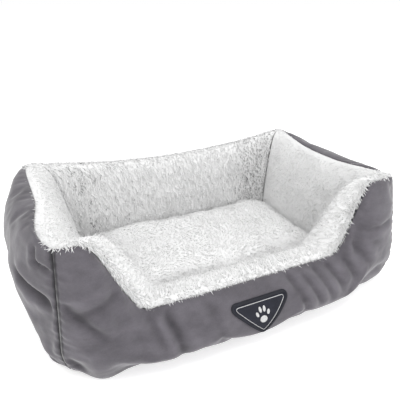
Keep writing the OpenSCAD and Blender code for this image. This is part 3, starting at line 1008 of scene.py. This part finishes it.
# %% The scattering tree
def pile_tree():
    tree = bpy.data.node_groups.new("plush_pile", "GeometryNodeTree")
    for label, kind, value in (
        ("Geometry", "NodeSocketGeometry", None), ("Density", "NodeSocketFloat", 115000.0),
        ("Lean", "NodeSocketFloat", 1.0), ("Scatter", "NodeSocketFloat", 0.38),
        ("Dark share", "NodeSocketFloat", 0.3), ("Seed", "NodeSocketInt", 1),
    ):
        socket = tree.interface.new_socket(label, in_out="INPUT", socket_type=kind)
        if value is not None:
            socket.default_value = value
    tree.interface.new_socket("Geometry", in_out="OUTPUT", socket_type="NodeSocketGeometry")
    link = tree.links.new
    start, end = tree.nodes.new("NodeGroupInput"), tree.nodes.new("NodeGroupOutput")
    points = add_node(tree, "GeometryNodeDistributePointsOnFaces")
    link(start.outputs["Geometry"], points.inputs["Mesh"])
    thick_at = add_node(tree, "GeometryNodeInputNamedAttribute", data_type="FLOAT", Name="thick")
    density = add_node(tree, "ShaderNodeMath", operation="MULTIPLY")
    link(start.outputs["Density"], density.inputs[0])
    link(thick_at.outputs["Attribute"], density.inputs[1])
    link(density.outputs[0], points.inputs["Density"])
    link(start.outputs["Seed"], points.inputs["Seed"])

    comb_at = add_node(tree, "GeometryNodeInputNamedAttribute", data_type="FLOAT_VECTOR", Name="comb")
    frost_here = add_node(tree, "GeometryNodeInputNamedAttribute", data_type="FLOAT", Name="frost")
    pile_at = add_node(tree, "GeometryNodeInputNamedAttribute", data_type="FLOAT", Name="pile")
    lean = add_node(tree, "ShaderNodeVectorMath", operation="SCALE")
    link(comb_at.outputs["Attribute"], lean.inputs[0])
    link(start.outputs["Lean"], lean.inputs["Scale"])
    jitter = add_node(tree, "FunctionNodeRandomValue", data_type="FLOAT_VECTOR")
    jitter.inputs[0].default_value = (-1, -1, -1)
    jitter.inputs[1].default_value = (1, 1, 1)
    link(start.outputs["Seed"], jitter.inputs["Seed"])
    spread = add_node(tree, "ShaderNodeVectorMath", operation="SCALE")
    link(jitter.outputs[0], spread.inputs[0])
    link(start.outputs["Scatter"], spread.inputs["Scale"])
    upright = add_node(tree, "ShaderNodeVectorMath", operation="SCALE", Scale=0.42)
    link(points.outputs["Normal"], upright.inputs[0])
    total = tree.nodes.new("ShaderNodeVectorMath")
    link(lean.outputs[0], total.inputs[0])
    link(spread.outputs[0], total.inputs[1])
    whole = tree.nodes.new("ShaderNodeVectorMath")
    link(total.outputs[0], whole.inputs[0])
    link(upright.outputs[0], whole.inputs[1])
    align = add_node(tree, "FunctionNodeAlignRotationToVector", axis="Z")
    link(whole.outputs[0], align.inputs["Vector"])
    twist = add_node(tree, "FunctionNodeRandomValue", data_type="FLOAT")
    twist.inputs[2].default_value, twist.inputs[3].default_value = 0.0, math.tau
    twist_axis = add_node(tree, "FunctionNodeAxisAngleToRotation")
    twist_axis.inputs["Axis"].default_value = (0, 0, 1)
    link(twist.outputs[1], twist_axis.inputs["Angle"])
    turned = add_node(tree, "FunctionNodeRotateRotation", rotation_space="LOCAL")
    link(align.outputs[0], turned.inputs[0])
    link(twist_axis.outputs[0], turned.inputs[1])

    size = add_node(tree, "FunctionNodeRandomValue", data_type="FLOAT")
    size.inputs[2].default_value, size.inputs[3].default_value = 0.7, 1.25
    length = add_node(tree, "ShaderNodeMath", operation="MULTIPLY")
    link(size.outputs[1], length.inputs[0])
    link(pile_at.outputs["Attribute"], length.inputs[1])
    lock_in = add_node(tree, "GeometryNodeObjectInfo")
    lock_in.inputs["Object"].default_value = hair_lock
    copies = add_node(tree, "GeometryNodeInstanceOnPoints")
    link(points.outputs["Points"], copies.inputs["Points"])
    link(lock_in.outputs["Geometry"], copies.inputs["Instance"])
    link(turned.outputs[0], copies.inputs["Rotation"])
    link(length.outputs[0], copies.inputs["Scale"])

    # dark locks come in patches: a random value for each lock, pushed up by a soft noise
    chance = add_node(tree, "FunctionNodeRandomValue", data_type="FLOAT")
    place = tree.nodes.new("GeometryNodeInputPosition")
    upright_streaks = add_node(tree, "ShaderNodeVectorMath", operation="MULTIPLY")
    upright_streaks.inputs[1].default_value = (1, 1, 0.3)
    patches = add_node(tree, "ShaderNodeTexNoise", Scale=135.0, Detail=2.0)
    link(place.outputs[0], upright_streaks.inputs[0])
    link(upright_streaks.outputs[0], patches.inputs["Vector"])
    pushed = add_node(tree, "ShaderNodeMath", operation="ADD")
    chance.inputs[3].default_value = 0.45
    link(chance.outputs[1], pushed.inputs[0])
    stronger = add_node(tree, "ShaderNodeMath", operation="MULTIPLY")
    stronger.inputs[1].default_value = 3.0
    link(patches.outputs["Fac"], stronger.inputs[0])
    link(stronger.outputs[0], pushed.inputs[1])
    frosted = add_node(tree, "ShaderNodeMath", operation="ADD")
    link(pushed.outputs[0], frosted.inputs[0])
    link(frost_here.outputs["Attribute"], frosted.inputs[1])
    limit = add_node(tree, "ShaderNodeMath", operation="SUBTRACT")
    limit.inputs[0].default_value = 2.28
    link(start.outputs["Dark share"], limit.inputs[1])
    above = add_node(tree, "ShaderNodeMapRange")
    link(frosted.outputs[0], above.inputs["Value"])
    link(limit.outputs[0], above.inputs["From Min"])
    above.inputs["From Max"].default_value = 2.5
    above.inputs["To Min"].default_value = 0.45
    above.inputs["To Max"].default_value = 1.0
    store = add_node(tree, "GeometryNodeStoreNamedAttribute", data_type="FLOAT", domain="INSTANCE")
    store.inputs["Name"].default_value = "shade"
    link(copies.outputs[0], store.inputs["Geometry"])
    link(above.outputs[0], store.inputs["Value"])
    real = tree.nodes.new("GeometryNodeRealizeInstances")
    link(store.outputs[0], real.inputs[0])
    link(real.outputs[0], end.inputs[0])
    return tree


PILE = pile_tree()


# %% Growing a pile on a skin
def grow_pile(name, skin, body, **settings):
    pile_piece = bpy.data.objects.new(name, skin.data.copy())
    scene.collection.objects.link(pile_piece)
    modifier = pile_piece.modifiers.new("pile", "NODES")
    modifier.node_group = PILE
    for item in PILE.interface.items_tree:
        if item.item_type == "SOCKET" and item.in_out == "INPUT" and item.name in settings:
            modifier[item.identifier] = settings[item.name]
    apply_modifiers(pile_piece)
    pile_piece.data.materials.clear()
    pile_piece.data.materials.append(plush_hair)
    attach(pile_piece, body)
    print(name, len(pile_piece.data.polygons), "faces")


for wall, side in enumerate(SIDES):
    grow_pile(
        f"{side}_pile", plush_skins[wall], "bed_shell",
        **{"Seed": 3 + wall, "Dark share": (0.08, 0.02, 0.26, 0.10)[wall]},
    )
grow_pile(
    "cushion_pile", cushion_cover, "cushion",
    **{"Seed": 11, "Scatter": 0.34, "Lean": 1.3, "Dark share": 0.06},
)
bpy.data.objects.remove(hair_lock)

# %% [markdown]
# ## The badge
# The badge is a woven patch in the shape of a triangle with round corners, standing on its
# point. Its edge is overlocked with thick thread, a thin light line runs inside the edge,
# and a paw is embroidered in its middle. The outline is a triangle with bevelled corners.
# Everything is made flat first and then laid on the front panel by casting rays at it.

# %% Laying flat pieces on the front panel
front_surface = BVHTree.FromPolygons(
    [v.co for v in outer_panels[FRONT].data.vertices],
    [tuple(f.vertices) for f in outer_panels[FRONT].data.polygons],
)
BADGE_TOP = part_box("badge_border")[1].z - 0.0004


def lay_on_front(x, z, height):
    """The point at (x, z) on the front panel, raised by height."""
    start = Vector((MIDDLE.x + BADGE_X + x, MIDDLE.y - 0.4, BADGE_TOP + z))
    hit = front_surface.ray_cast(start, Vector((0, 1, 0)))[0]
    return hit + outward(FRONT) * height


def badge_outline(shrink):
    """An ordered ring of points (x, z): the triangle, drawn in by shrink, with round corners."""
    bm = bmesh.new()
    side, foot = 0.0511 - 2.55 * shrink, -0.0474 + 1.36 * shrink
    corners = [bm.verts.new(p) for p in ((-side, -shrink, 0), (0, foot, 0), (side, -shrink, 0))]
    bm.faces.new(corners)
    shape = dict(affect="VERTICES", segments=7, profile=0.5, material=-1, clamp_overlap=True)
    rounding = max(0.2, 1 - shrink / 0.008)
    bmesh.ops.bevel(bm, geom=[corners[1]], offset=0.0060 * rounding, **shape)
    top = [v for v in bm.verts if abs(v.co.y + shrink) < 1e-6]
    bmesh.ops.bevel(bm, geom=top, offset=0.0166 * rounding, **shape)
    long_sides = [e for e in bm.edges if e.calc_length() > 0.010]
    bmesh.ops.subdivide_edges(bm, edges=long_sides, cuts=11)
    bm.faces.ensure_lookup_table()
    ring = [Vector((v.co.x, v.co.y)) for v in bm.faces[0].verts]
    bm.free()
    return ring


def ring_walk(ring):
    """Returns a function from a share of the way round to a point and its outward normal."""
    count = len(ring)
    steps = [(ring[(i + 1) % count] - ring[i]).length for i in range(count)]
    total = sum(steps)

    def walk(share):
        left = (share % 1.0) * total
        i = 0
        while i < count - 1 and left > steps[i]:
            left -= steps[i]
            i += 1
        here, then = ring[i], ring[(i + 1) % count]
        along = (then - here).normalized()
        normal = Vector((along.y, -along.x))
        return here + along * left, normal if normal.dot(here - Vector((0, -0.018))) > 0 else -normal

    return walk


def thread_round(name, shrink, radius, flatness, height, columns, wraps):
    """A closed tube on the badge; wraps is the number of thread turns cut into it."""
    walk = ring_walk(badge_outline(shrink))

    def place(a, b):
        at, normal = walk(a)
        turn_angle = math.tau * b
        twist = math.tau * (a * wraps) + turn_angle * 0.5 if wraps else 0
        r = radius * (0.86 + 0.14 * abs(math.cos(twist)) ** 0.5 if wraps else 1)
        flat = at + normal * (r * math.cos(turn_angle))
        return lay_on_front(flat.x, flat.y, height + r * flatness * (1 + math.sin(turn_angle)))

    tube = sheet_piece(name, columns, 10, place)
    close_seams(tube)
    return tube


def close_seams(piece):
    bm = bmesh.new()
    bm.from_mesh(piece.data)
    bmesh.ops.remove_doubles(bm, verts=bm.verts, dist=0.00002)
    bmesh.ops.recalc_face_normals(bm, faces=bm.faces)
    bm.to_mesh(piece.data)
    bm.free()


# %% The woven patch: rings drawn in towards its middle
bm = bmesh.new()
ring_points = [bm.verts.new((p.x, p.y, 0)) for p in badge_outline(0.0012)]
ring = [bm.edges.new(pair) for pair in zip(ring_points, ring_points[1:] + ring_points[:1])]
centre = Vector((0, -0.0185, 0))
inner_share = 1.0
for share in (0.90, 0.78, 0.66, 0.54, 0.42, 0.30, 0.18, 0.08):
    made = bmesh.ops.extrude_edge_only(bm, edges=ring)["geom"]
    points = [g for g in made if isinstance(g, bmesh.types.BMVert)]
    ring = [g for g in made if isinstance(g, bmesh.types.BMEdge)]
    ring = [e for e in ring if all(v in points for v in e.verts)]
    scale = share / inner_share
    bmesh.ops.scale(bm, vec=(scale, scale, 1), verts=points, space=Matrix.Translation(-centre))
    inner_share = share
bmesh.ops.contextual_create(bm, geom=ring)
for v in bm.verts:
    v.co = lay_on_front(v.co.x, v.co.y, 0.0013)
badge_patch = make_object("badge_patch", bm)
face_outwards(badge_patch, lambda c: outward(FRONT))
solidify(badge_patch, 0.0012)

# %% The overlocked edge and the thin line
badge_edging = thread_round("badge_edging", 0.0015, 0.0017, 0.62, 0.0004, 900, 150)
badge_line = thread_round("badge_line", 0.0049, 0.00032, 0.8, 0.0012, 300, 0)

# %% The paw: four toes and a pad, each a low dome of satin stitch
bm = bmesh.new()
PAW = (
    (0.0, -0.0248, 0.0054, 0.0043, 0), (-0.0082, -0.0176, 0.0020, 0.0030, 24),
    (-0.0030, -0.0132, 0.0021, 0.0034, 8), (0.0030, -0.0132, 0.0021, 0.0034, -8),
    (0.0082, -0.0176, 0.0020, 0.0030, -24),
)
for x, z, half_wide, half_high, tilt in PAW:
    dome = bmesh.ops.create_uvsphere(bm, u_segments=24, v_segments=12, radius=1)["verts"]
    bmesh.ops.scale(bm, vec=(half_wide, half_high, 0.0007), verts=dome)
    bmesh.ops.rotate(bm, cent=(0, 0, 0), matrix=Matrix.Rotation(math.radians(tilt), 3, "Z"), verts=dome)
    bmesh.ops.translate(bm, vec=(x, z, 0), verts=dome)
for v in bm.verts:
    v.co = lay_on_front(v.co.x, v.co.y, 0.0014 + v.co.z)
bmesh.ops.recalc_face_normals(bm, faces=bm.faces)
badge_paw = make_object("badge_paw_stitching", bm)

for piece, finish, node, slot_name in (
    (badge_patch, badge_weave, "badge_cloth", "badge_cloth"),
    (badge_edging, overlock_thread, "badge_border", "badge_thread"),
    (badge_line, satin_thread, None, "badge_motif"),
    (badge_paw, satin_thread, "badge_paw", "badge_motif"),
):
    piece.data.materials.append(finish)
    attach(piece, "bed_shell")
    if node:
        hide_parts(node)
print("badge from height", round(BADGE_TOP, 4))

# %% [markdown]
# ## The zip
# The cover comes off for washing through a zip low on the back. Its tapes, end stops,
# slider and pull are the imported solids, which get better finishes. The plain strip of its
# chain is replaced by teeth: two rows of small rounded blocks that reach past each other.

# %% Teeth
TOOTH_STEP = 0.0019
chain_length = chain_high.x - chain_low.x
tooth_count = int(chain_length / TOOTH_STEP) - 1
chain_middle = (chain_low + chain_high) / 2
bm = bmesh.new()
for row, shift in ((1, 0.0), (-1, 0.5)):
    tooth = bmesh.ops.create_cube(bm, size=1)["verts"]
    bmesh.ops.scale(bm, vec=(TOOTH_STEP * 0.46, 0.0017, 0.0026), verts=tooth)
    start_x = chain_low.x + (0.75 + shift) * TOOTH_STEP
    bmesh.ops.translate(bm, vec=(start_x, chain_middle.y, ZIP_HEIGHT + row * 0.0007), verts=tooth)
bmesh.ops.bevel(
    bm, geom=bm.edges[:], offset=0.00028, affect="EDGES", segments=1, profile=0.5, material=-1
)
zip_teeth = make_object("zip_teeth", bm)
repeat(zip_teeth, tooth_count, (TOOTH_STEP, 0, 0))
apply_modifiers(zip_teeth)
zip_teeth.data.polygons.foreach_set("use_smooth", [False] * len(zip_teeth.data.polygons))

# %% Two rows of stitches that hold the tapes
STITCH_STEP = 0.0034
bm = bmesh.new()
for side_z in (tape_high.z - 0.0012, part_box("zip_tape_lower")[0].z + 0.0012):
    stitch = bmesh.ops.create_uvsphere(bm, u_segments=8, v_segments=6, radius=1)["verts"]
    bmesh.ops.scale(bm, vec=(0.0012, 0.00032, 0.00036), verts=stitch)
    bmesh.ops.translate(bm, vec=(tape_low.x + 0.003, tape_high.y, side_z), verts=stitch)
zip_stitches = make_object("zip_stitches", bm)
repeat(zip_stitches, int((tape_high.x - tape_low.x - 0.004) / STITCH_STEP), (STITCH_STEP, 0, 0))
apply_modifiers(zip_stitches)

for piece, finish, slot_name in (
    (zip_teeth, zip_nylon, "zip_chain"), (zip_stitches, overlock_thread, "zip_tape"),
):
    piece.data.materials.append(finish)
    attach(piece, "bed_shell")
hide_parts("zip_chain")
for node, finish in (
    ("zip_tape_upper", tape_weave), ("zip_tape_lower", tape_weave),
    ("zip_end_stops", plated_metal), ("zip_slider", plated_metal), ("zip_pull", plated_metal),
):
    for place in bpy.data.objects[node].material_slots:
        place.material = finish
print("teeth in each row:", tooth_count)

# %% [markdown]
# ## The base and the floor inside
# Under the bed is a plain cloth with small rubber dots, so that it doesn't slide. Inside,
# under the cushion, is a quilted lining. Both are seen only when the bed is turned over
# or the cushion is taken out. The corners of the base are lifted a little by their seams.


# %% Base cloth
def base_point(a, b):
    u, v = 2 * a - 1, 2 * b - 1
    half_x, half_y = SEAM_HALF_X - inset(0), SEAM_HALF_Y - inset(0)
    x = u * (half_x + (foot_edge(RIGHT, v) if u > 0 else foot_edge(LEFT, -v)) - 0.0012)
    y = v * (half_y + (foot_edge(BACK, -u) if v > 0 else foot_edge(FRONT, u)) - 0.0012)
    corner = math.hypot((1 - abs(u)) * half_x, (1 - abs(v)) * half_y) / LIFT_REACH
    return MIDDLE + Vector((x, y, 0.0006 + corner_lift(y) * math.exp(-corner ** 2)))


base_cloth = sheet_piece("base_cloth", 64, 44, base_point)
face_outwards(base_cloth, lambda c: Vector((0, 0, -1)))
thicken(base_cloth, 0.0012)

# %% Rubber dots
DOT_STEP = 0.016
bm = bmesh.new()
dot = bmesh.ops.create_cone(
    bm, cap_ends=True, segments=10, radius1=0.0021, radius2=0.0030, depth=0.0007
)["verts"]
bmesh.ops.translate(bm, vec=MIDDLE + Vector((-14 * DOT_STEP, -8 * DOT_STEP, 0.0005)), verts=dot)
base_dots = make_object("base_dots", bm)
repeat(base_dots, 29, (DOT_STEP, 0, 0))
repeat(base_dots, 17, (0, DOT_STEP, 0))
apply_modifiers(base_dots)
base_dots.data.polygons.foreach_set("use_smooth", [False] * len(base_dots.data.polygons))


# %% Quilted lining
def quilt_point(a, b):
    x, y = (2 * a - 1) * (WELL_X - 0.001), (2 * b - 1) * (WELL_Y - 0.001)
    lines = min(abs(math.sin(math.pi * (x + y) / 0.052)), abs(math.sin(math.pi * (x - y) / 0.052)))
    return MIDDLE + Vector((x, y, FLOOR_TOP - 0.0028 + 0.0026 * lines ** 0.45))


floor_quilt = sheet_piece("floor_quilt", 150, 84, quilt_point)
face_outwards(floor_quilt, lambda c: Vector((0, 0, 1)))
solidify(floor_quilt, 0.002)

for piece, finish, nodes, slot_name in (
    (base_cloth, base_weave, ["base_cloth_panel"], "base_cloth"),
    (base_dots, dot_rubber, [], "base_cloth"),
    (floor_quilt, suede_under, ["floor_lining", "base_foam_pad"], "lining_cloth"),
):
    piece.data.materials.append(finish)
    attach(piece, "bed_shell")
    if nodes:
        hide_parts(*nodes)
